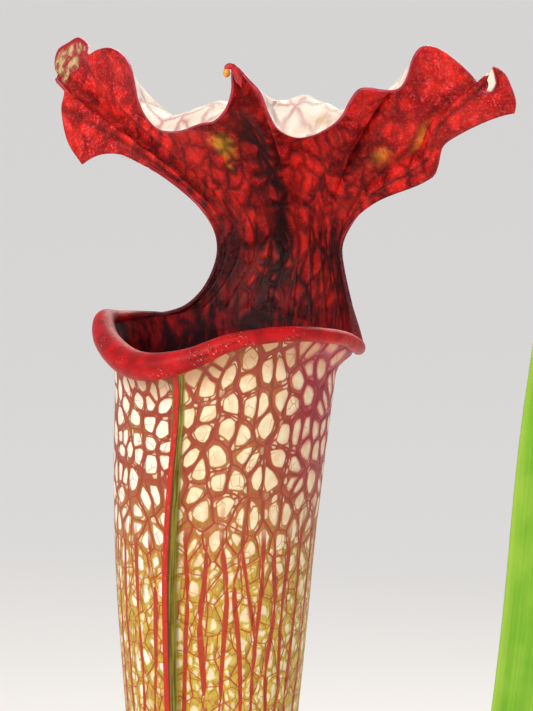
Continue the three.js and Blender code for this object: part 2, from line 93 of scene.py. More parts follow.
def makeCurve(rows, period=0):
    # returns a function that reads the rows' values at x along a smooth curve
    keys = [list(row) for row in rows]
    if period:
        before = [[row[0] - period] + row[1:] for row in keys[-2:]]
        after = [[row[0] + period] + row[1:] for row in keys[:2]]
        keys = before + keys + after
    places = [row[0] for row in keys]
    last = len(keys) - 1
    slopes = []
    for k in range(len(keys)):
        a, b = keys[max(k - 1, 0)], keys[min(k + 1, last)]
        slopes.append([(y - x) / (b[0] - a[0]) for x, y in zip(a[1:], b[1:])])

    def readAt(x):
        i, u = spanAt(places, x)
        step = places[i + 1] - places[i]
        return [hermite(a, sa * step, b, sb * step, u) for a, sa, b, sb
                in zip(keys[i][1:], slopes[i], keys[i + 1][1:], slopes[i + 1])]
    return readAt


# distance below the mouth, tube radius, sideways sway
tubeAt = makeCurve([
    [0, 18, 0], [10, 17.4, -0.3], [20, 17, -0.9], [34, 16.2, -1.5], [45, 15.5, -1.6], [56, 14.6, -1.5],
    [75, 13, -1.3], [100, 11.3, -0.8], [140, 9, -0.3], [180, 7, 0], [220, 5.6, 0], [260, 4.4, 0],
    [300, 3.7, 0], [345, 4.6, 0], [370, 5, 0],
])
# angle from the wing, lip height, lip radius, distance from the tube's axis
lipAt = makeCurve([
    [-150, 0.6, 0.1, 18.4], [-118, 0.4, 0.7, 19.4], [-90, 0.8, 1, 19.6], [-62, 1.2, 1.6, 19.5], [-40, -1.2, 2, 19.7],
    [-12, -3.8, 2.3, 20], [12, -2.4, 1.8, 20], [34, 0.8, 1.35, 20], [60, 1.8, 1.2, 20.2], [90, 0.4, 1.15, 20.8],
    [118, -2.4, 1.1, 21.2], [150, -1.4, 0.1, 18.8], [180, 0, 0.05, 18],
], 360)
# place across the hood; margin point across, up, forward; the direction in which a vein runs out there
marginAt = makeCurve([
    [-1, -40.1, 23.5, -19, -28, -22, 0], [-0.93, -43.1, 27.4, -19, -24, -6, -2],
    [-0.87, -45, 32.5, -20, -24, 6, -4], [-0.82, -45.2, 35.8, -21, -22, 12, -8],
    [-0.785, -49.7, 37.5, -25, -20, 12, -20], [-0.745, -52.6, 39.9, -28, -18, 14, -24],
    [-0.715, -52.6, 42.3, -29, -14, 18, -24], [-0.69, -49.8, 43.6, -28, -10, 20, -22],
    [-0.66, -46.2, 44.7, -26, -10, 22, -18], [-0.64, -41.7, 43.6, -22, -8, 24, -14],
    [-0.62, -38.9, 42.2, -19, -8, 26, -10], [-0.595, -36.4, 43.1, -18, -5, 28, -6],
    [-0.56, -32.7, 43.6, -16, -2, 28, -4], [-0.52, -29, 42.7, -14, 0, 26, 0], [-0.49, -26.3, 41, -12, 0, 20, 6],
    [-0.45, -24.1, 38.2, -10, -3, 10, 12], [-0.41, -22.5, 35, -9, -6, 0, 17],
    [-0.365, -19.8, 32.5, -7.5, -6, -12, 20], [-0.32, -16.6, 31, -6, -4, -24, 22],
    [-0.27, -13.3, 30.8, -5, -4, -34, 24], [-0.225, -10.5, 31.3, -4.5, -3, -36, 24],
    [-0.175, -7.3, 32.4, -4, -2, -34, 24], [-0.13, -4.4, 33, -3.5, -1, -24, 23],
    [-0.087, -1.8, 35.1, -2.5, 0, -8, 21], [-0.04, 0.1, 38.2, -1, -1, 6, 20], [0, 0.8, 42, 0, -8, 12, 20],
    [0.045, 3.5, 39.7, -0.5, 3, 10, 20], [0.087, 5.2, 37.8, -1, 4, 0, 21], [0.13, 6.1, 34.7, -2, 4, -22, 24],
    [0.175, 7.6, 32.3, -2.5, 4, -40, 26], [0.24, 10.4, 31, -3, 4, -54, 28], [0.3, 12.9, 31.3, -4, 5, -46, 26],
    [0.35, 15.2, 32.5, -5, 6, -34, 24], [0.395, 16.9, 34.3, -6.5, 8, -14, 20], [0.435, 17.7, 36.9, -8, 8, 2, 14],
    [0.48, 18.7, 38.6, -9, 9, 10, 9], [0.52, 20.4, 38.9, -9.5, 9, 10, 8], [0.56, 22.8, 38.5, -10, 9, 0, 13],
    [0.595, 24.8, 38.9, -11, 12, -12, 17], [0.62, 25.7, 40.9, -12, 13, -4, 14], [0.64, 26, 43.5, -13, 11, 14, 6],
    [0.665, 26.9, 45.4, -14, 8, 24, 3], [0.7, 28.7, 45.5, -15, 10, 25, 1], [0.74, 31.3, 44.1, -15.5, 14, 20, 0],
    [0.79, 34.4, 41.5, -16, 17, 12, 4], [0.825, 36.8, 38.9, -16, 20, 2, 10], [0.85, 38.4, 38.7, -16, 24, -6, 12],
    [0.87, 39.5, 40.3, -15.5, 24, 0, 10], [0.89, 39, 42.6, -15, 18, 18, 4], [0.92, 40.4, 41.7, -16, 20, 14, 2],
    [0.955, 41.3, 39.3, -17, 24, 8, 1], [0.98, 41.6, 37.1, -18, 26, 6, 0], [1, 41, 35.5, -19, 28, 4, 0],
])
shape = {
    "neckAngle": 62, "waistUp": 13, "waistHalf": 11.6, "waistBack": 3, "waistAt": 0.3, "tubeTop": 18,
    "edgeLeft": [14, 2, -12], "edgeRight": [-6, 12, -7], "wingTurn": 7,
    "lobeAt": 0.7, "lobeInner": 0.14, "lobeOuter": 0.035, "lobeDrop": 3.2,
}
earLook = {"from": 0.868, "slant": 4.4, "bend": 0.158, "middle": 0.147, "half": 0.04, "back": 1.3}


def turned(angle):
    return (angle + 180) % 360 - 180


def rimPoint(angle):
    t = turned(angle)
    up, _, radius = lipAt(t)
    return [radius * math.sin(math.radians(t)), up, radius * math.cos(math.radians(t))]


def hoodPoint(across, along):
    k = shape
    base = rimPoint(180 - across * k["neckAngle"])
    turn = across * math.asin(k["waistHalf"] / k["tubeTop"])
    middle = [k["tubeTop"] * math.sin(turn), k["waistUp"] - 1.5 * across ** 2 + 0.6 * across,
              -k["tubeTop"] * math.cos(turn) - k["waistBack"]]
    margin = marginAt(across)
    rise = [0, 34 - 12 * abs(across), 3 * (1 - across ** 2)]
    edge = k["edgeLeft"] if across < 0 else k["edgeRight"]
    leave = [mix(x, edge[n], across ** 2) for n, x in enumerate([0, 15, 0])]
    split = k["waistAt"]
    if along < split:
        point = hermitePoint(base, leave, middle, [x * split / (1 - split) for x in rise], along / split)
    else:
        point = hermitePoint(middle, rise, margin[:3], margin[3:], (along - split) / (1 - split))
    bend = ((along - k["lobeAt"]) / (k["lobeInner"] if along < k["lobeAt"] else k["lobeOuter"])) ** 2
    hang = k["lobeDrop"] * ease((across - 0.6) / 0.4) * math.exp(-bend)
    # the ear at the far left stands behind the fold that bounds it
    u = (across + 1) / 2
    e = earLook
    behind = ease((along - e["from"] - e["slant"] * max(u - e["bend"], 0)) / 0.014)
    behind *= ease((e["half"] - abs(u - e["middle"])) / 0.008)
    return [point[0] + 0.5 * hang, point[1] - hang, point[2] - e["back"] * behind]


class Axis:
    # a cubic curve from foot to mouth, read by the length left to the mouth
    cuts = 400

    def __init__(self, foot, mouth):
        foot, mouth = Vector(foot), Vector(mouth)
        reach = mouth.z - foot.z
        away = Vector((mouth.x - foot.x, mouth.y - foot.y, 0))
        second, third = foot + away * 0.42, mouth - away * 0.12
        second.z, third.z = foot.z + reach * 0.3, foot.z + reach * 0.62
        self.handles = [foot, second, third, mouth]
        self.steps = runAlong([self.at(k / self.cuts) for k in range(self.cuts + 1)])
        self.length = self.steps[-1]

    def at(self, u):
        a, b, c, d = self.handles
        return a * (1 - u) ** 3 + b * (3 * u * (1 - u) ** 2) + c * (3 * u * u * (1 - u)) + d * u ** 3

    def place(self, below):
        i, part = spanAt(self.steps, min(self.length, max(0, self.length - below)))
        rise = self.at((i + 1) / self.cuts) - self.at(i / self.cuts)
        return self.at((i + part) / self.cuts), rise.normalized()


class Pitcher:
    # one open leaf; its length below the lip is that of the tall one times the scale, stretched to reach its foot
    tallLength = 352

    def __init__(self, foot, mouth, scale, turn, mirror=1, spread=1):
        self.scale, self.mirror, self.spread = scale, mirror, spread
        self.axis = Axis([*foot, soilTop - footDepth], [mouth[0], mouth[1], soilTop + mouth[2]])
        self.forward = Vector((-math.sin(math.radians(turn)), -math.cos(math.radians(turn)), 0))
        self.tubeScale = self.axis.length / scale / self.tallLength
        self.kept = {}

    def frameAt(self, below=0):
        # the middle of the tube at that distance below the mouth, and the directions across, up and forward
        if below not in self.kept:
            at, rise = self.axis.place(below)
            side = rise.cross(self.forward).normalized()
            self.kept[below] = at, side, rise, side.cross(rise)
        return self.kept[below]

    def place(self, across, up, forward, below=0):
        at, side, rise, front = self.frameAt(below)
        return at + (side * across + rise * up + front * forward) * self.scale

    def hood(self, across, along):
        x, y, z = hoodPoint(across * self.mirror, along)
        widen = mix(1, self.spread, ease((along - shape["waistAt"]) / 0.5))
        return self.place(x * self.mirror * widen, y, z)

    def rim(self, angle):
        x, y, z = rimPoint(angle * self.mirror)
        return self.place(x * self.mirror, y, z)

    def lip(self, angle):
        return lipAt(turned(angle * self.mirror))[1] * self.scale

    def wall(self, angle, below, out):
        # a point of the tube: angle from the wing, distance below the mouth, and offset from its outside
        t = turned(angle * self.mirror)
        up, roll, radius = lipAt(t)
        deep = below / self.scale
        near = math.exp(-((deep / 14) ** 2))
        tuck = ease((abs(t) - 125) / 20)
        drop = (up - roll * 0.6) * near + 0.5 * tuck * near
        middle, sway = tubeAt(deep / self.tubeScale)
        reach = min(radius - shape["tubeTop"] - roll * 0.5, 2.4)
        flare = (reach - 0.2 * tuck) * math.exp(-((deep / 2) ** 2))
        r = middle + flare + out / self.scale
        side = math.radians(angle)
        return self.place(r * math.sin(side) + sway * self.mirror, drop, r * math.cos(side), below)


# Mesh helpers

def addToScene(name, data):
    added = bpy.data.objects.new(name, data)
    bpy.context.scene.collection.objects.link(added)
    return added


def addMesh(name, bm, scale=mm):
    bmesh.ops.scale(bm, vec=(scale,) * 3, verts=bm.verts[:])
    mesh = bpy.data.meshes.new(name)
    bm.to_mesh(mesh)
    bm.free()
    return addToScene(name, mesh)


def addPiece(name, bm, materials, slotName, *nodes):
    # a smooth piece that rides the plant and stands in for the named nodes
    piece = addMesh(name, bm)
    piece.data.polygons.foreach_set("use_smooth", [True] * len(piece.data.polygons))
    for material in materials:
        piece.data.materials.append(material)
    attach(piece, "root")
    if nodes:
        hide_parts(*nodes)
    return piece


def addGrid(bm, across, along, pointAt, uvAt=None, closed=False, flip=False):
    # a grid whose places run 0..1 both ways, bent to pointAt(u, v)
    uvLayer = bm.loops.layers.uv.get("leafMap") or bm.loops.layers.uv.new("leafMap")
    made = bmesh.ops.create_grid(bm, x_segments=across, y_segments=along, size=1)["verts"]
    faces = {face for vert in made for face in vert.link_faces}
    for face in faces:
        for loop in face.loops:
            u, v = (loop.vert.co.x + 1) / 2, (loop.vert.co.y + 1) / 2
            loop[uvLayer].uv = uvAt(u, v) if uvAt else (u, v)
    for vert in made:
        vert.co = pointAt((vert.co.x + 1) / 2, (vert.co.y + 1) / 2)
    if flip:
        bmesh.ops.reverse_faces(bm, faces=list(faces))
    if closed:
        bmesh.ops.remove_doubles(bm, verts=made, dist=1e-4)


def thicken(piece, thickness):
    # the other side gets the piece's second material, the rim its third
    solid = piece.modifiers.new("thickness", "SOLIDIFY")
    solid.thickness = thickness * mm
    solid.offset = 0
    solid.use_even_offset = False
    solid.use_quality_normals = True
    solid.material_offset = 1
    solid.material_offset_rim = 2


def resample(points, steps):
    # even steps along a smooth line through the points
    smooth = []
    for k in range(len(points) - 1):
        a, b, c, d = (points[min(max(k + j, 0), len(points) - 1)] for j in (-1, 0, 1, 2))
        for i in range(12):
            u = i / 12
            smooth.append(0.5 * (2 * b + (c - a) * u + (2 * a - 5 * b + 4 * c - d) * u * u
                                 + (3 * b - a - 3 * c + d) * u ** 3))
    smooth.append(points[-1])
    run = runAlong(smooth)
    spans = [spanAt(run, run[-1] * k / steps) for k in range(steps + 1)]
    return [smooth[i].lerp(smooth[i + 1], part) for i, part in spans]


def directionAt(path, k):
    return (path[min(k + 1, len(path) - 1)] - path[max(k - 1, 0)]).normalized()


def addSweep(bm, path, sides, sizeAt, face, uvScale=(1, 1)):
    # an oval section carried along a path, with its wide axis square to the way it faces
    last = len(path) - 1
    frames = []
    for k, at in enumerate(path):
        along = directionAt(path, k)
        wide = face.cross(along).normalized()
        frames.append((at, wide, along.cross(wide)))

    def pointAt(u, v):
        at, wide, thick = frames[round(v * last)]
        x, y = sizeAt(v, u)
        turn = u * math.tau
        return at + wide * (x * math.cos(turn)) + thick * (y * math.sin(turn))
    addGrid(bm, sides, last, pointAt, lambda u, v: (u * uvScale[0], v * uvScale[1]), True)


# Materials

class Field:
    # a value that varies over a surface: arithmetic with it adds the shader's maths nodes
    def __init__(self, material, socket):
        self.material, self.socket = material, socket

    def maths(self, operation, other=0.0):
        return addField(self.material, "Math", 0, {"operation": operation}, n0=self, n1=other)

    def vector(self, operation, other=(0, 0, 0), output=0):
        return addField(self.material, "VectorMath", output, {"operation": operation}, n0=self, n1=other)

    def __add__(self, other):
        return self.maths("ADD", other)

    def __sub__(self, other):
        return self.maths("SUBTRACT", other)

    def __rsub__(self, other):
        return addField(self.material, "Math", 0, {"operation": "SUBTRACT"}, n0=other, n1=self)

    def __mul__(self, other):
        return self.maths("MULTIPLY", other)

    def __abs__(self):
        return self.maths("ABSOLUTE")


def newMaterial(name):
    material = bpy.data.materials.new(name)
    material.use_nodes = True
    material.node_tree.nodes.clear()
    return material


def addNode(material, kind, settings=None, **inputs):
    # a shader node with its settings, and with its inputs set to values or linked to fields
    node = material.node_tree.nodes.new("ShaderNode" + kind)
    for key, value in {**(settings or {}), **inputs}.items():
        if hasattr(node, key):
            setattr(node, key, value)
            continue
        key = int(key[1:]) if key[0] == "n" and key[1:].isdigit() else key.replace("_", " ")
        if isinstance(value, Field):
            material.node_tree.links.new(value.socket, node.inputs[key])
        else:
            node.inputs[key].default_value = value
    return node


def addField(material, kind, output=0, settings=None, **inputs):
    return Field(material, addNode(material, kind, settings, **inputs).outputs[output])


def larger(a, b):
    return a.maths("MAXIMUM", b)


def smaller(a, b):
    return a.maths("MINIMUM", b)


def partsOf(place):
    node = addNode(place.material, "SeparateXYZ", None, Vector=place)
    return [Field(place.material, output) for output in node.outputs]


def between(value, low, high, lowTo=0.0, highTo=1.0):
    # lowTo where the value is at low, highTo where it is at high, and a smooth run from one to the other
    settings = {
        "interpolation_type": "SMOOTHSTEP", "From Min": low, "From Max": high, "To Min": lowTo, "To Max": highTo}
    return addField(value.material, "MapRange", 0, settings, Value=value)


def under(value, low, high):
    # 1 where the value is under low, 0 where it is over high
    return between(value, low, high, 1, 0)


def blend(share, a, b):
    a, b = (toLinear(c) if isinstance(c, str) else c for c in (a, b))
    return addField(share.material, "Mix", 2, {"data_type": "RGBA"}, n0=share, n6=a, n7=b)


def leafPlace(material, x=1.0, y=1.0, shift=0.0):
    # the place on the leaf's own map, with x and y pattern cells to each of its units
    place = addField(material, "UVMap", 0, {"uv_map": "leafMap"})
    return addField(material, "Mapping", 0, {"Scale": (x, y, 1), "Location": (shift, 0, 0)}, Vector=place)


def objectPlace(material, across=1.0, up=None):
    # the place in space, where one unit is the given number of millimetres
    flat = 1 / (across * mm)
    scale = (flat, flat, 1 / ((up or across) * mm))
    return addField(material, "Mapping", 0, {"Scale": scale}, Vector=addField(material, "TexCoord", "Object"))


def speckle(place, scale, detail=3.0, rough=0.5):
    settings = {"Scale": scale, "Detail": detail, "Roughness": rough}
    return addField(place.material, "TexNoise", "Fac", settings, Vector=place)


def wobble(place, scale, amount):
    # the place pushed about by a noise, so that a net of cells isn't straight
    push = addField(place.material, "TexNoise", "Color", {"Scale": scale, "Detail": 1.0}, Vector=place)
    return place.vector("ADD", push.vector("SUBTRACT", (0.5, 0.5, 0.5)).vector("MULTIPLY", (amount,) * 3))


def addCells(place, feature, randomness, dimensions="2D"):
    # a pattern of cells one unit across
    settings = {"feature": feature, "voronoi_dimensions": dimensions, "Scale": 1.0, "Randomness": randomness}
    return addNode(place.material, "TexVoronoi", settings, Vector=place)


def netOf(place, randomness=0.9, dimensions="2D"):
    # the distance to the nearest edge of a cell
    return Field(place.material, addCells(place, "DISTANCE_TO_EDGE", randomness, dimensions).outputs["Distance"])


def cellOf(place, randomness=0.9):
    # the distance to the middle of the cell, and a number that belongs to the cell
    cells = addCells(place, "F1", randomness)
    parts = addNode(place.material, "SeparateColor", None, Color=Field(place.material, cells.outputs["Color"]))
    return [Field(place.material, socket) for socket in (cells.outputs["Distance"], parts.outputs[0])]


def finish(material, color, roughness=0.5, bump=None, bumpHeight=0.2, through=0.0, specular=0.5):
    # the surface, with its bumps in millimetres and the share of light that comes through the leaf
    links = {"Base_Color": color, "Roughness": roughness, "Specular_IOR_Level": specular}
    if bump is not None:
        links["Normal"] = addField(material, "Bump", 0, {"Strength": 1.0, "Distance": bumpHeight * mm}, Height=bump)
    shader = addField(material, "BsdfPrincipled", **links)
    if through:
        behind = addField(material, "BsdfTranslucent", Color=color)
        shader = addField(material, "MixShader", n0=through, n1=shader, n2=behind)
    addNode(material, "OutputMaterial", Surface=shader)
    return material


# Leaf materials

cellsAround = 36  # cells of the red net round a tube
cellsPerMm = 0.24  # and along it


def tubeMaterial(name, pale, vein, ground, greenFrom=6.2):
    # pale round windows in a red net of veins, on a ground that turns green further down the tube
    material = newMaterial(name)
    place = leafPlace(material)
    around, down, _ = partsOf(place)
    patch = speckle(place, 0.35, 2)
    tone = speckle(place, 1.7, 4)
    low = between(down + patch * 4, greenFrom, greenFrom + 6.5)
    grain = speckle(place, 7.0, 2) - 0.5
    bent = wobble(place, 0.7, 0.5)
    edge = netOf(bent)
    centre, pick = cellOf(bent)
    # veins that run down the tube are broad, those that cross it thin
    width = between(upright(bent, edge, 0.9), 0, 1, 0.04, 0.08) * (low * -0.55 + 1.0)
    veinShare = under(edge - (grain * 0.05 + width), -0.025, 0.03)
    # lower down long veins cut through the net
    longPlace = wobble(leafPlace(material, 0.95, 0.2, 5.1), 1.1, 0.3)
    longEdge = netOf(longPlace, 0.8)
    longWidth = grain * 0.04 + between(upright(longPlace, longEdge, 0.8), 0.3, 1, 0, 0.13)
    longShare = under(longEdge - longWidth, -0.03, 0.03) * between(low, 0.1, 0.6)
    veinShare = larger(veinShare, longShare)
    # the windows are round, and further down they shrink and some close
    least = low * (pick * 0.2 + 0.13)
    corner = larger(centre - 0.26, 0.0) * 0.75
    room = grain * 0.04 + (edge - corner - (least + 0.07))
    room = smaller(room, longEdge + (-0.09 - (low - 1.0)))
    window = between(room, between(low, 0, 1, -0.01, -0.05), between(low, 0, 1, 0.05, 0.1))
    # smaller windows and thin veins fill what is left
    small = wobble(leafPlace(material, 2.1, 2.1, 3.7), 1.2, 0.3)
    smallEdge = netOf(small, 1.0)
    smallCentre, smallPick = cellOf(small, 1.0)
    smallWindow = between(smallEdge - larger(smallCentre - 0.2, 0.0), 0.03, 0.16)
    smallWindow = smallWindow * between(smallPick, 0.25, 0.5) * under(room, -0.13, -0.07)
    thin = under(smallEdge, 0.01, 0.075)
    # at the top the red fills the whole net
    full = under(room, -0.05, 0.0) * (1.0 - low) * (smallWindow * -0.85 + 1.0)
    veinShare = larger(veinShare, full * between(patch, 0.3, 0.6, 0.5, 1))
    groundColor = blend(between(tone, 0.3, 0.7), ground[0], ground[1])
    groundColor = blend(low, blend(between(tone, 0.4, 0.6), "#d08a5a", "#b8963c"), groundColor)
    base = blend(smallWindow * 0.8, groundColor, pale[0])
    base = blend(thin * between(low, 0, 1, 0.35, 0.75), base, vein[1])
    # painted light whitens the windows towards the back left, where the light falls, and painted shade of the lip
    # turns them peach just under it
    light = blend(between(tone, 0.35, 0.7), pale[0], pale[1])
    light = blend(between(around, 22, 33, 0, 0.8), light, "#fffdf2")
    light = blend(between(down, 0.3, 1.7, 0.8, 0), light, pale[2])
    innerVein = thin * between(speckle(place, 0.9, 1), 0.5, 0.62, 0.06, 0.6)
    light = blend(innerVein, light, "#b06a3c")
    base = blend(window, base, light)
    # far down the leaf is plain green
    deep = between(patch * 12 + down, 26, 60)
    base = blend(deep * 0.85, base, "#7f9c36")
    net = blend(low, vein[0], vein[1])
    # the side away from the wing has crimson veins with pink fringes
    pink = under(abs(around - 9.5), 1.5, 5.0) * under(down, 2, 9)
    net = blend(pink * 0.85, net, "#a01a34")
    fringe = pink * between(room, -0.05, 0.28, 0.95, 0.12)
    base = blend(fringe, base, "#d44a60")
    color = blend(veinShare, base, net)
    # along the wing: the red crest, beside it a dark olive-brown strip of painted shade, and olive flanks that are
    # the leaf's green darkened by painted shade of the wing's sides
    fromWing = smaller(around, cellsAround - around)
    lines = speckle(leafPlace(material, 26, 0.5), 1.0, 2)
    shadedFlank = blend(between(lines, 0.4, 0.6), "#a59a34", "#6d6018")
    for near, far, tint in ((0.28, 0.42, shadedFlank), (0.15, 0.19, "#4c3c10"), (0.12, 0.15, "#cc2a1a")):
        color = blend(under(fromWing, near, far), color, tint)
    height = between(edge, 0, 0.2) + tone * 0.2
    return finish(material, color, 0.42, height, 0.22, 0.12, 0.35)


def upright(place, edge, randomness):
    # how far the nearest vein of a net runs along the leaf
    beside = [place.vector("ADD", (shift, 0, 0)) for shift in (-0.04, 0.04)]
    left, right = (abs(netOf(spot, randomness) - edge) for spot in beside)
    return between(larger(left, right), 0.0, 0.04)


def crease(across, at, halfWidth):
    # how near the place lies to a fold that runs up the hood
    return under(abs(across - at), 0.0, halfWidth)


def hoodInside(name, bright, veinNeck, veinLobe, neckShadeRed):
    # blood red windows between dark veins that fan out of the neck, with painted shade nearly black where the neck
    # is deepest
    material = newMaterial(name)
    place = leafPlace(material)
    across, along, _ = partsOf(place)
    lobe = between(along, 0.32, 0.5)
    # in the neck the windows are upright, above it they are round and about 3 mm across
    neckEdge = netOf(wobble(objectPlace(material, 2.2, 5), 1.3, 0.6), 0.9, "3D")
    lobeEdge = netOf(wobble(objectPlace(material, 3.1, 3.7), 1.2, 0.8), 0.9, "3D")
    space = objectPlace(material)
    mottle = speckle(space, 1.3, 4, 0.75)
    grain = speckle(space, 2.3, 3, 0.7)
    edge = (mottle - 0.5) * 0.3 + (neckEdge * (1.0 - lobe) + lobeEdge * lobe)
    vein = under(edge, between(lobe, 0, 1, 0.02, -0.05), between(lobe, 0, 1, 0.34, 0.3))
    # a few ribs run up the neck and fade out over the lobes
    ribPlace = wobble(leafPlace(material, 10, 1.3), 1.2, 0.5)
    rib = under(abs(partsOf(ribPlace)[0].maths("FRACT") - 0.5), 0.0, 0.16)
    ribShare = rib * between(along, 0.3, 0.75, 0.8, 0.0)
    patch = speckle(space, 0.25, 3, 0.6)
    base = blend(between(patch, 0.38, 0.6), bright[0], bright[1])
    base = blend(between(mottle, 0.52, 0.7, 0, 0.6), base, "#9a060c")
    blush = between(grain, 0.5, 0.36) * between(along, 0.4, 0.9, 0.3, 0.85)
    base = blend(blush, base, "#f85e66")
    # painted backlight: a few patches are painted glowing yellow, where the leaf holds least red and light comes
    # through it
    backlitGlows = ((0.335, 0.65, 0.022, 0.05, 0.95), (0.31, 0.58, 0.008, 0.02, 0.7), (0.87, 0.64, 0.02, 0.03, 0.4),
             (0.91, 0.73, 0.012, 0.04, 0.4))
    for u, v, wide, high, share in backlitGlows:
        near = place.vector("SUBTRACT", (u, v, 0)).vector("MULTIPLY", (1 / wide, 1 / high, 0))
        away = mottle * 2.8 + near.vector("LENGTH", output="Value")
        base = blend(between(away, 1.5, 2.9, share, 0), base, "#ffcc3c")
    dark = blend(lobe, veinNeck, veinLobe)
    veinShare = vein * between(along, 0.5, 0.95, 0.95, 0.5) * between(patch, 0.4, 0.62, 1, 0.75)
    color = blend(larger(veinShare, ribShare), base, dark)
    # painted shade darkens to brown the folds that run out to the far lobes
    folds = crease(across, 0.14, 0.01)
    for at, wide in ((0.068, 0.01), (0.9, 0.008), (0.955, 0.01), (0.8, 0.01)):
        folds = larger(folds, crease(across, at, wide))
    folds = folds * between(along, 0.4, 0.6) * between(mottle, 0.25, 0.6, 1, 0.55)
    color = blend(folds * 0.75, color, "#3a1408")
    # painted shade deep in the neck: it darkens to maroon towards its foot, and its middle, which the leaf has
    # darker, is painted near black behind the mouth
    color = blend(between(along, 0.2, 0.6, 0.35, 0), color, neckShadeRed)
    middle = under(abs(across - 0.44), 0.015, 0.12) * between(along, 0.5, 1.0, 0.92, 0.4)
    color = blend(middle * between(edge, 0.16, 0.4, 1, 0.35), color, "#140103")
    # the neck's lower sides turn greyish maroon: dust, with a painted sheen over it
    neckSide = between(abs(across - 0.5), 0.26, 0.46) * under(along, 0.26, 0.5)
    dustAndSheen = blend(between(mottle, 0.4, 0.7), "#34080e", "#5a2428")
    color = blend(neckSide * 0.92, color, dustAndSheen)
    color = blend(under(along, 0.01, 0.16), color, throatColor(material))
    # the curled ear shows its pale outer side
    upEar = along - larger(across - earLook["bend"], 0.0) * earLook["slant"]
    ear = under(abs(across - earLook["middle"]), 0.03, 0.036) * between(upEar, 0.874, 0.882)
    earTone = speckle(space, 0.7, 3)
    earColor = blend(between(earTone, 0.36, 0.6), "#e2cb94", "#b83a48")
    earColor = blend(between(mottle, 0.5, 0.66, 0, 0.6), earColor, "#97a04a")
    earColor = blend(between(along, 0.965, 0.985), earColor, "#c01a2a")
    color = blend(ear, color, earColor)
    height = between(edge, 0, 0.3) - larger(ribShare, folds) * 0.8
    return finish(material, color, 0.5, height, 0.16, 0.25, 0.2)


def throatColor(material):
    # dark maroon with red showing through, shared by the foot of the neck and the tube's inside
    glow = speckle(objectPlace(material, 1, 10 / 3), 0.5, 3, 0.6)
    return blend(between(glow, 0.38, 0.66), "#2c060c", "#981018")


def hoodOutside(name, pale, vein):
    # the pale outer side of the hood, with a loose pink net, red along the neck's edges
    material = newMaterial(name)
    edge = netOf(wobble(wobble(leafPlace(material, 30, 12), 1.0, 0.7), 5.0, 0.15), 0.95)
    across, along, _ = partsOf(leafPlace(material))
    patch = speckle(leafPlace(material, 14, 9), 1.0, 3)
    base = blend(between(patch, 0.4, 0.65), pale[0], pale[1])
    vague = speckle(leafPlace(material, 5, 4, 1.7), 1.0, 2)
    share = under(edge, -0.03, 0.17) * between(vague, 0.38, 0.65, 0.1, 0.75)
    color = blend(share, base, vein)
    color = blend(under(along, 0.2, 0.8) * 0.45, color, vein)
    color = blend(between(patch, 0.56, 0.7, 0, 0.75), color, "#cfc066")
    color = blend(between(abs(across - 0.5), 0.44, 0.475), color, "#a81420")
    return finish(material, color, 0.5, between(edge, 0, 0.25), 0.3, 0.12, 0.3)


def plainLeaf(name, colorA, colorB, roughness=0.45):
    # one leaf colour drifting into another, with a fine grain
    material = newMaterial(name)
    grain = speckle(objectPlace(material), 0.9, 4)
    return finish(material, blend(between(grain, 0.35, 0.7), colorA, colorB), roughness, grain, 0.15)


def lipMaterial(name):
    # waxy red, with specks of dirt and dried nectar that gather along the inner edge
    material = newMaterial(name)
    place = objectPlace(material)
    tone = speckle(place, 0.3, 3)
    color = blend(between(tone, 0.35, 0.65), "#98060e", "#c40c14")
    pale = speckle(place, 0.14, 2)
    color = blend(between(pale, 0.55, 0.75, 0, 0.3), color, "#c82c28")
    around, run, _ = partsOf(leafPlace(material))
    inner = under(abs(around - 0.38), 0.05, 0.2)
    dirt = speckle(place, 1.9, 5, 0.7)
    zone = between(inner * 0.16 + speckle(place, 0.2, 1), 0.46, 0.64)
    color = blend(between(dirt, 0.55, 0.62) * zone * 0.85, color, "#3c1a12")
    dust = between(speckle(place, 2.6, 3), 0.62, 0.7) * zone
    color = blend(dust * 0.6, color, "#c9a58e")
    # the roll darkens to maroon where it runs out up the neck
    ends = larger(under(run, 0.14, 0.2), between(run, 0.755, 0.83))
    color = blend(ends, color, blend(between(dirt, 0.4, 0.6), "#3e0c14", "#6a2428"))
    height = tone + dirt * 0.4
    return finish(material, color, between(ends, 0, 1, 0.42, 0.6), height, 0.2, 0, 0.2)


def liningMaterial(name):
    # the inside of the tube: maroon at the mouth, paler and greener where light comes through lower down
    material = newMaterial(name)
    _, down, _ = partsOf(leafPlace(material))
    edge = netOf(wobble(leafPlace(material, 1, 1.4), 1.0, 0.6), 0.9)
    color = blend(between(edge, 0.0, 0.2, 0.4, 0), throatColor(material), "#1e0508")
    color = blend(between(down, 4, 12), color, "#a08a52")
    return finish(material, color, 0.55, edge, 0.15, 0.05, 0.15)


marginEdge = plainLeaf("hood_margin", "#b82440", "#8e1228", 0.45)
lining = liningMaterial("tube_lining")
lipRed = lipMaterial("lip_wax")
# the last colour is the painted shade deep in the neck
insideRed = hoodInside("hood_inside", ["#c80c0a", "#ff2a1c"], "#160205", "#400507", "#2c0408")
outsidePale = hoodOutside("hood_outside", ["#fbf3e4", "#f0d8c8"], "#c0566a")
# the third window colour is the painted shade under the lip
tubePale = tubeMaterial(
    "tube_windows", ["#fdeec6", "#f6d3a8", "#d99f6c"], ["#a64632", "#ba3c20"], ["#dcc04a", "#bca234"])
print("leaf materials made")


# Pitchers

wingLook = {"height": 3.2, "half": 1.0, "edge": 0.35}
hoodThickness = 0.5


def tubeUv(angleShare, below):
    return angleShare * cellsAround, below * cellsPerMm


def angleOf(u):
    # angle from the wing's crest, with the columns drawn together there
    return 360 * (u - 0.75 * math.sin(math.tau * u) / math.tau)


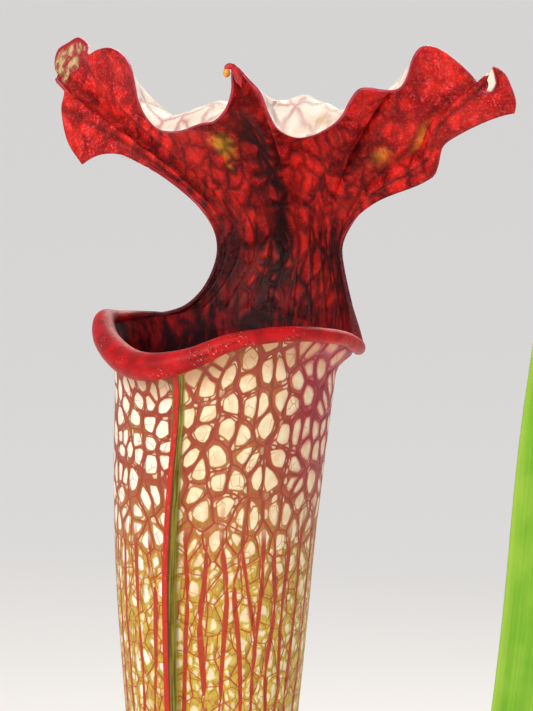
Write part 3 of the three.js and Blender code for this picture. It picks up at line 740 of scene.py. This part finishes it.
def addTube(name, pitcher, around, rows):
    bm = bmesh.new()
    s = pitcher.scale
    length = pitcher.axis.length

    def wingHeight(angle, below):
        radius = tubeAt(below / s / pitcher.tubeScale)[0] * s
        arc = math.radians(min(angle, 360 - angle)) * radius
        rise = 0.25 + 0.75 * ease(below / (40 * s))
        fade = ease((length - 19 - below) / (60 * s))
        profile = clamp((wingLook["half"] * s - arc) / ((wingLook["half"] - wingLook["edge"]) * s))
        return wingLook["height"] * s * rise * fade * profile ** 0.8

    def deep(v):
        return length * (1 - v) ** 1.25

    def outside(u, v):
        angle = angleOf(u)
        below = deep(v)
        return pitcher.wall(angle + shape["wingTurn"] * pitcher.mirror, below, wingHeight(angle, below))

    def place(u, v):
        share = angleOf(u) / 360
        return tubeUv(share if pitcher.mirror > 0 else 1 - share, deep(v) / s)
    addGrid(bm, around, rows, outside, place, True)
    addPiece(name + "_tube_wall", bm, [tubePale], "tube_leaf", name + "_tube")


def addLining(name, pitcher, around, rows):
    # the tube's inside, as far down as it can be seen
    bm = bmesh.new()
    s = pitcher.scale
    depth = 70 * s

    def inside(u, v):
        angle = 360 * u
        below = depth * v
        x, up, z = rimPoint(angle * pitcher.mirror)
        radius = math.hypot(x, z)
        inward = (radius - 0.3 / s) / radius
        up += 0.8 * ease((min(angle, 360 - angle) - 122) / 14)
        top = pitcher.place(x * inward * pitcher.mirror, up - below / s, z * inward)
        return top.lerp(pitcher.wall(angle, below, -0.5), ease(below / (2 * s)))
    addGrid(bm, around, rows, inside, lambda u, v: tubeUv(u, depth * v / s), True, True)
    addPiece(name + "_tube_lining", bm, [lining], "tube_leaf", name + "_tube")


def addHood(name, pitcher, across, along):
    bm = bmesh.new()
    addGrid(bm, across, along, lambda u, v: pitcher.hood(2 * u - 1, v))
    piece = addPiece(name + "_hood_blade", bm, [insideRed, outsidePale, marginEdge], "hood_leaf", name + "_hood")
    thicken(piece, hoodThickness)


def addLip(name, pitcher, steps, sides):
    neckTop = 0.42
    path = [pitcher.hood(1, neckTop * k / 7) for k in range(7, 0, -1)]
    front = 2 * (180 - shape["neckAngle"])
    path += [pitcher.rim(180 - shape["neckAngle"] - front * k / 40) for k in range(41)]
    path += [pitcher.hood(-1, neckTop * k / 7) for k in range(1, 8)]
    path = resample(path, steps)
    at, side, rise, forward = pitcher.frameAt()
    least = max(0.8 * pitcher.scale, 0.62)

    def size(v, u):
        away = path[round(v * steps)] - at
        angle = math.degrees(math.atan2(away.dot(side), away.dot(forward)))
        fade = min(ease(v / 0.22), ease((1 - v) / 0.26))
        tip = ease(min(v, 1 - v) / 0.04)
        roll = max((0.02 + 0.25 * tip + 0.4 * fade) * least, pitcher.lip(angle) * fade)
        return roll * 1.04, roll
    bm = bmesh.new()
    addSweep(bm, path, sides, size, rise)
    addPiece(name + "_lip_roll", bm, [lipRed], "hood_leaf", name + "_hood")


def addSpikeHook(name, pitcher):
    # the spike on the hood's margin ends in a small hook that holds a bead of nectar
    points = [[2.4, 38.6, 0], [1.7, 40.6, 0], [1.2, 41.7, 0.3], [0.8, 42.1, 0.6], [0.3, 41.9, 0.9], [0, 41.4, 1.1]]
    path = resample([pitcher.place(*point) for point in points], 30)
    bm = bmesh.new()

    def size(v, u):
        thick = 0.75 - 0.3 * v
        return thick * ease(v / 0.3) * math.sqrt(clamp((1 - v) / 0.1)), thick * ease(v / 0.3)
    addSweep(bm, path, 16, size, Vector((0, -1, 0)))
    bead = bmesh.ops.create_icosphere(bm, subdivisions=3, radius=0.6)["verts"]
    for vert in bead:
        vert.co.z *= 1.2
        vert.co += pitcher.place(0.35, 41, 1.2)
        for face in vert.link_faces:
            face.material_index = 1
    hook = plainLeaf("spike_red", "#c2141a", "#9c0c14", 0.4)
    amber = plainLeaf("nectar_bead", "#e0a024", "#c8641a", 0.25)
    addPiece(name + "_spike_hook", bm, [hook, amber], "hood_leaf", name + "_hood")


pitchers = {
    "pitcher_tall": {
        "leaf": Pitcher([-8, -2], [6, 0, 345], 1, 30), "tube": [210, 150], "hood": [230, 110], "lip": [260, 20]},
    "pitcher_middle": {
        "leaf": Pitcher([-7, 11], [-36, 38, 226], 0.74, 128, -1, 0.86), "tube": [110, 80], "hood": [150, 70],
        "lip": [160, 14]},
    "pitcher_low": {
        "leaf": Pitcher([-21, 3], [-42, -36, 168], 0.6, 52, 1, 0.78), "tube": [100, 70], "hood": [140, 64],
        "lip": [150, 12]},
}
addSpikeHook("pitcher_tall", pitchers["pitcher_tall"]["leaf"])
for name, look in pitchers.items():
    leaf = look["leaf"]
    addTube(name, leaf, *look["tube"])
    addLining(name, leaf, look["tube"][0], 36)
    addHood(name, leaf, *look["hood"])
    addLip(name, leaf, *look["lip"])
    print(name, "done")


# Flat leaves

def bladeMaterial(name, light, dark, edge):
    # bright green with close parallel veins and a paler edge
    material = newMaterial(name)
    across, _, _ = partsOf(leafPlace(material))
    stripe = speckle(wobble(leafPlace(material, 46, 1.2), 0.4, 0.5), 1.0, 2)
    fine = speckle(leafPlace(material, 150, 2.5), 1.0, 2)
    tone = speckle(leafPlace(material, 3, 4), 1.0, 2)
    color = blend(between(stripe, 0.3, 0.7, 0.1, 0.75), light, dark)
    color = blend(between(tone, 0.4, 0.7, 0, 0.35), color, edge)
    color = blend(between(abs(across - 0.5), 0.38, 0.5) * 0.6, color, edge)
    height = stripe + fine * 0.5
    return finish(material, color, 0.42, height, 0.12, 0.2, 0.4)


bladeGreen = bladeMaterial("blade_green", "#86c22a", "#6cab1e", "#b4d850")
flatLeaves = [
    {"name": "flat_leaf_tall", "foot": [16, -1], "half": 9, "face": [-0.25, -1], "steps": 200,
     "path": [[20, -1, 40], [34, -1, 130], [50, 0, 225], [58.4, 1, 285], [61.2, 2, 328], [64.5, 3, 372],
              [66, 4, 402]]},
    {"name": "flat_leaf_short", "foot": [20, 9], "half": 6.5, "face": [-1, 0.3], "steps": 110,
     "path": [[26, 12, 40], [40, 20, 100], [58, 30, 150], [78, 40, 182]]},
    {"name": "flat_leaf_low", "foot": [7, 11], "half": 5.5, "face": [-0.3, 1], "steps": 100,
     "path": [[10, 17, 34], [15, 28, 80], [26, 45, 120], [40, 62, 142]]},
]


def addFlatLeaf(name, foot, half, face, steps, path):
    points = [Vector((*foot, soilTop - footDepth)), Vector((*foot, soilTop + 4))]
    points += [Vector((x, y, soilTop + up)) for x, y, up in path]
    line = resample(points, steps)
    look = Vector((*face, 0)).normalized()
    last = len(line) - 1

    def blade(u, v):
        k = round(v * last)
        along = directionAt(line, k)
        wide = look.cross(along).normalized()
        out = along.cross(wide)
        width = 2.6 + (half - 2.6) * ease((v - 0.02) / 0.5) - half * 0.97 * clamp((v - 0.66) / 0.34) ** 2.6
        thick = max(0.34, 1.9 - 3.6 * v)
        # both faces in one ring: u runs once round the blade
        turn = math.tau * u
        x = math.cos(turn)
        keel = 0.5 * ease((v - 0.3) / 0.3) * (1 - abs(x)) ** 2
        return line[k] + wide * (width * x) + out * (thick * math.sin(turn) * (1 - 0.5 * abs(x)) - keel)
    bm = bmesh.new()
    addGrid(bm, 40, last, blade, lambda u, v: ((math.cos(math.tau * u) + 1) / 2, v * 10), True)
    addPiece(name + "_blade", bm, [bladeGreen], "flat_leaf", name)


for leaf in flatLeaves:
    addFlatLeaf(**leaf)


# Unopened pitcher

def addUnopened():
    foot, lean, height, radius = [4, -9], [14, -12], 148, 5.2
    points = [Vector((foot[0] + lean[0] * a, foot[1] + lean[1] * a, soilTop + up))
              for a, up in ((0, -footDepth), (0.2, height * 0.3), (0.6, height * 0.7), (1, height))]
    line = resample(points, 120)

    def size(v, u):
        body = 2.4 + (radius - 2.4) * ease((v - 0.1) / 0.68)
        tip = math.sqrt(clamp((1 - v) / 0.2))
        lid = 1 - 0.25 * ease((v - 0.75) / 0.2)
        # the folded lid lies over the mouth as a shallow step, and a seam runs down the front
        fold = 0.25 * ease((v - 0.78) / 0.02) * (1 - ease((v - 0.86) / 0.1))
        seam = 0.9 * math.exp(-(((u - 0.25) / 0.025) ** 2)) * ease(v / 0.2) * ease((0.96 - v) / 0.1)
        return body * tip + 0.1 + fold, body * tip * lid + 0.1 + fold + seam
    bm = bmesh.new()
    addSweep(bm, line, 48, size, Vector((1, 0.4, 0)).normalized(), (11, -9))
    bmesh.ops.holes_fill(bm, edges=bm.edges[:], sides=60)
    young = ["#c8cf78", "#b5c460", "#c8cf78"]
    material = tubeMaterial("young_tube", young, ["#a04a2e", "#9a3a2a"], ["#7f9e30", "#8fae3c"], -20.0)
    addPiece("unopened_leaf", bm, [material], "tube_leaf", "pitcher_unopened")


addUnopened()
print("leaves done")


# Pot, with its drain holes cut through the floor

def addPot():
    k = {"height": 120, "base": 50, "top": 66, "wall": 2.2, "floor": 3, "band": 20, "bandOut": 3,
         "holes": 6, "holeRadius": 4.5, "holeRing": 36}

    def outerAt(z):
        return mix(k["base"], k["top"], z / k["height"])
    foot = k["height"] - k["band"]
    top, edge = k["height"], k["top"] + k["bandOut"]
    profile = [(0, 0), (44, 0), (k["base"] - 1.6, 0.15), (k["base"] - 0.4, 1), (k["base"], 2.6)]
    profile += [(outerAt(z), z) for z in (12, 30, 50, 70, foot - 1.2)]
    profile += [(outerAt(foot) + 0.6, foot - 0.3), (outerAt(foot) + k["bandOut"] - 0.6, foot + 0.5),
                (outerAt(foot) + k["bandOut"], foot + 1.6), (edge - 1, top - 3.2), (edge - 0.9, top - 1.6),
                (edge - 1.5, top - 0.5), (edge - 2.4, top), (k["top"] - 1.4, top), (k["top"] - 1.9, top - 0.4),
                (k["top"] - k["wall"], top - 1.2), (outerAt(60) - k["wall"], 60),
                (outerAt(k["floor"]) - k["wall"], k["floor"]), (0, k["floor"])]
    bm = bmesh.new()
    verts = [bm.verts.new((r, 0, z)) for r, z in profile]
    edges = [bm.edges.new(pair) for pair in zip(verts, verts[1:])]
    bmesh.ops.spin(
        bm, geom=verts + edges, axis=(0, 0, 1), cent=(0, 0, 0), angle=math.tau, steps=128, use_merge=True)
    bmesh.ops.remove_doubles(bm, verts=bm.verts[:], dist=1e-3)
    bmesh.ops.recalc_face_normals(bm, faces=bm.faces[:])
    # dull terracotta-coloured plastic, with a faint mottle and pale flecks of lime
    material = newMaterial("pot_plastic")
    place = objectPlace(material)
    tone = speckle(place, 0.05, 4)
    color = blend(between(tone, 0.35, 0.7), "#a9603f", "#985235")
    grain = speckle(place, 2.4, 3)
    color = blend(between(grain, 0.55, 0.8, 0, 0.3), color, "#c08a6c")
    finish(material, color, 0.55, grain, 0.06, 0, 0.4)
    piece = addPiece("pot_shell", bm, [material], "pot_plastic", "pot")
    drill = bmesh.new()
    for hole in range(k["holes"]):
        turn = math.tau * hole / k["holes"]
        made = bmesh.ops.create_cone(
            drill, cap_ends=True, segments=32, radius1=k["holeRadius"], radius2=k["holeRadius"], depth=14)["verts"]
        bmesh.ops.translate(drill, verts=made, vec=(*onCircle(k["holeRing"], turn), 0))
    cutter = addMesh("holes", drill)
    cut = piece.modifiers.new("holes", "BOOLEAN")
    cut.object = cutter
    cut.solver = "EXACT"
    bpy.context.view_layer.update()
    piece.data = bpy.data.meshes.new_from_object(piece.evaluated_get(bpy.context.evaluated_depsgraph_get()))
    piece.modifiers.clear()
    bpy.data.objects.remove(cutter)
    piece.data.set_sharp_from_angle(angle=math.radians(35))


addPot()
print("pot done")


# Peat, rhizome and what lies on them

peatLook = {"radius": 61.6, "crumb": 0.9, "dip": 1.4}
grainReach = 59  # how far from the middle grains and moss lie


def groundHeight(x, y):
    # the top of the soil solid: shallow waves on a low mound
    bump = 0.9 * math.sin(x * 0.19 + 1.3) * math.cos(y * 0.23) + 0.6 * math.sin(x * 0.41 - y * 0.37)
    share = clamp(math.hypot(x, y) / 60)
    edge = 1.8 * ease((share - 0.88) / 0.12)
    return soilTop + bump * (1 - share * 0.4) - 1.2 * share - edge


def peatMaterial(name):
    # moist dark peat with paler fibres
    material = newMaterial(name)
    place = objectPlace(material)
    grain = speckle(place, 0.9, 6, 0.7)
    fibre = speckle(wobble(objectPlace(material, 2), 0.3, 3.0), 1.6, 4, 0.6)
    color = blend(between(grain, 0.35, 0.65), "#21150d", "#4a3321")
    color = blend(between(fibre, 0.6, 0.72, 0, 0.7), color, "#7a5a3a")
    return finish(material, color, 0.85, grain, 1.2, 0, 0.2)


def barkMaterial(name):
    # brown rhizome skin, ringed by old leaf scars
    material = newMaterial(name)
    place = objectPlace(material)
    grain = speckle(place, 0.8, 5, 0.6)
    rings = addField(material, "TexWave", "Fac", {"Scale": 0.12, "Distortion": 4.0, "Detail": 2.0}, Vector=place)
    color = blend(between(grain, 0.35, 0.65), "#4c2c1b", "#7d4f32")
    color = blend(between(rings, 0.6, 0.9, 0, 0.5), color, "#2e1a10")
    return finish(material, color, 0.75, grain + rings, 0.7, 0, 0.3)


peat = peatMaterial("peat")
bark = barkMaterial("rhizome_skin")
for name, material in (("soil", peat), ("rhizome", bark)):
    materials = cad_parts[name].data.materials
    materials.clear()
    materials.append(material)

# where each leaf stands, and the radius that stays clear round it
feet = [(-8, -2, 6.2), (-7, 11, 4.8), (-21, 3, 4.2), (16, -1, 3.8), (20, 9, 3.8), (7, 11, 3.8), (4, -9, 3.8)]


def nearFoot(x, y, margin=0):
    return any(math.hypot(x - fx, y - fy) < r + margin for fx, fy, r in feet)


def onRhizome(x, y):
    return -33 < x < 27 and abs(y - 2) < 11


def addPeatCrust():
    # a rough skin of crumbs over the soil solid, dipping out of sight at the rhizome
    bm = bmesh.new()

    def pointAt(u, v):
        r = mix(0.4, peatLook["radius"], v)
        x, y = onCircle(r, math.tau * u)
        rough = noise.fractal(Vector((x, y, 0)) * 0.35, 0.8, 2.0, 5) * peatLook["crumb"]
        rough += 0.7 * noise.noise(Vector((x, y, 4)) * 0.13)
        low = peatLook["dip"] * ease(1 - (abs(y - 2) - 8) / 4) if -36 < x < 30 else 0
        return Vector((x, y, groundHeight(x, y) + 0.9 + rough - low))
    addGrid(bm, 220, 90, pointAt, closed=True)
    addPiece("peat_crust", bm, [peat], "peat")


def addPerlite(count, seed):
    pick = random.Random(seed)
    bm = bmesh.new()
    for _ in range(count):
        r, turn = grainReach * math.sqrt(pick.random()), pick.uniform(0, math.tau)
        x, y = onCircle(r, turn)
        if nearFoot(x, y, 1.5) or onRhizome(x, y):
            continue
        size = pick.uniform(0.6, 1.5)
        made = bmesh.ops.create_icosphere(bm, subdivisions=2, radius=size)["verts"]
        shift = Vector((pick.uniform(0, 99), 0, 0))
        for vert in made:
            lump = 1 + 0.3 * noise.noise(vert.co * (1.3 / size) + shift)
            vert.co = Vector((x, y, groundHeight(x, y) + 1.2)) + vert.co * lump
    # chalky white grains, dusted by peat
    material = newMaterial("perlite")
    grain = speckle(objectPlace(material), 1.3, 4)
    color = blend(between(grain, 0.4, 0.75), "#e4dfd4", "#a89c88")
    finish(material, color, 0.9, grain, 0.3, 0, 0.2)
    addPiece("perlite_grains", bm, [material], "peat")


def addMoss(tufts, seed):
    # low cushions of moss: each shoot is a short spike with a star of tiny leaves
    pick = random.Random(seed)
    bm = bmesh.new()
    centres = [(pick.uniform(15, 54), pick.uniform(0, math.tau), pick.uniform(6, 12)) for _ in range(tufts)]
    for r0, turn0, spread in centres:
        cx, cy = onCircle(r0, turn0)
        for _ in range(int(spread * 13)):
            away, turn = spread * math.sqrt(pick.random()), pick.uniform(0, math.tau)
            dx, dy = onCircle(away, turn)
            x, y = cx + dx, cy + dy
            if math.hypot(x, y) > grainReach or nearFoot(x, y, 1) or onRhizome(x, y):
                continue
            tall = pick.uniform(1.6, 3.2) * (1.15 - 0.6 * away / spread)
            base = Vector((x, y, groundHeight(x, y) + 0.6))
            tip = base + Vector((pick.uniform(-0.5, 0.5), pick.uniform(-0.5, 0.5), tall))
            for level in range(3):
                mid = base.lerp(tip, 0.45 + 0.27 * level)
                for arm in range(5):
                    angle = math.tau * (arm + 0.5 * level) / 5 + turn
                    out = Vector((math.cos(angle), math.sin(angle), 0.55))
                    side = Vector((-math.sin(angle), math.cos(angle), 0)) * 0.22
                    end = mid + out * (1.15 - 0.25 * level)
                    bm.faces.new([bm.verts.new(p) for p in (mid - side, mid + side, end)])
    # fresh green moss, yellower at some tips
    material = newMaterial("moss")
    tone = speckle(objectPlace(material), 0.12, 3)
    color = blend(between(tone, 0.35, 0.65), "#4f7a1e", "#93a83a")
    finish(material, color, 0.7, None, 0, 0.25, 0.2)
    addPiece("moss_cushions", bm, [material], "peat")


addPeatCrust()
addPerlite(260, 7)
addMoss(15, 5)
print("ground done")


# Fine hairs on the inner side of the hood, leaning down towards the mouth

def addHairs(name, pitcher, count, seed, spans):
    pick = random.Random(seed)
    bm = bmesh.new()
    for _ in range(count):
        low, high, start, end = pick.choice(spans)
        s, t = pick.uniform(low, high), pick.uniform(start, end)
        at = pitcher.hood(s, t)
        alongS = pitcher.hood(min(1, s + 0.004), t) - pitcher.hood(max(-1, s - 0.004), t)
        alongT = pitcher.hood(s, min(1, t + 0.004)) - pitcher.hood(s, max(0, t - 0.004))
        out = alongS.cross(alongT).normalized()
        lean = (out - alongT.normalized() * pick.uniform(0.4, 1.1)).normalized()
        long = pick.uniform(0.5, 1.1)
        root = at + out * 0.38
        side = alongS.normalized() * 0.022
        up = lean.cross(side.normalized()) * 0.022
        tip = bm.verts.new(root + lean * long)
        ring = [bm.verts.new(root + p) for p in (side, up - side * 0.5, -up - side * 0.5)]
        for a, b in ((0, 1), (1, 2), (2, 0)):
            bm.faces.new((ring[a], ring[b], tip))
    material = plainLeaf("leaf_hair", "#8a4a3c", "#6a2a24", 0.5)
    addPiece(name, bm, [material], "hood_leaf")


tall = pitchers["pitcher_tall"]["leaf"]
hairSpans = [(-0.98, -0.4, 0.4, 0.97), (-0.9, -0.6, 0.45, 0.95), (-0.9, -0.6, 0.45, 0.95), (0.5, 0.95, 0.45, 0.95)]
addHairs("hood_hairs", tall, 2600, 3, hairSpans)
print("hairs done")


# Floor, lights and camera

def addFloor():
    bm = bmesh.new()
    bmesh.ops.create_grid(bm, x_segments=1, y_segments=1, size=60)
    floor = addMesh("floor", bm, 1)
    # plain pale ground
    floor.data.materials.append(finish(newMaterial("floor_paint"), toLinear("#efedea"), 0.9, specular=0.1))


def aimAt(added, direction):
    added.rotation_euler = Vector(direction).to_track_quat("-Z", "Y").to_euler()


def addLight(name, at, target, size, power, color):
    lamp = bpy.data.lights.new(name, "AREA")
    lamp.energy = power
    lamp.color = toLinear(color)[:3]
    lamp.size = size
    light = addToScene(name, lamp)
    light.location = at
    aimAt(light, Vector(target) - Vector(at))


addFloor()
mouth = Vector((0.006, 0, 0.449))
addLight("key", (-0.75, -1.1, 1.25), mouth, 0.7, 18, "#fff6ea")
addLight("fill", (1.1, -0.9, 0.7), mouth, 1.0, 3, "#f2f5ff")
addLight("back", (0.35, 1.1, 1.15), mouth, 0.8, 10, "#fff4e6")
sun = bpy.data.lights.new("sun", "SUN")
sun.energy = 1.3
sun.angle = 0.3
aimAt(addToScene("sun", sun), (-0.2, -1, -1.3))
world = bpy.data.worlds.new("studio")
world.use_nodes = True
sky = world.node_tree.nodes["Background"].inputs
sky["Color"].default_value = toLinear("#e9e9ec")
sky["Strength"].default_value = 0.55
bpy.context.scene.world = world
bpy.context.scene.view_settings.view_transform = "Standard"

cameraLook = {"aim": (0.0125, 0, 0.4449), "distance": 0.475, "lift": 8, "lens": 150.3}
lens = bpy.data.cameras.new("camera")
lens.lens = cameraLook["lens"]
lens.sensor_width = 36
lens.clip_end = 200
camera = addToScene("camera", lens)
lift = math.radians(cameraLook["lift"])
aim = Vector(cameraLook["aim"])
camera.location = aim + Vector((0, -math.cos(lift), math.sin(lift))) * cameraLook["distance"]
camera.rotation_euler = (math.radians(90) - lift, 0, 0)
bpy.context.scene.camera = camera
print("stage done")
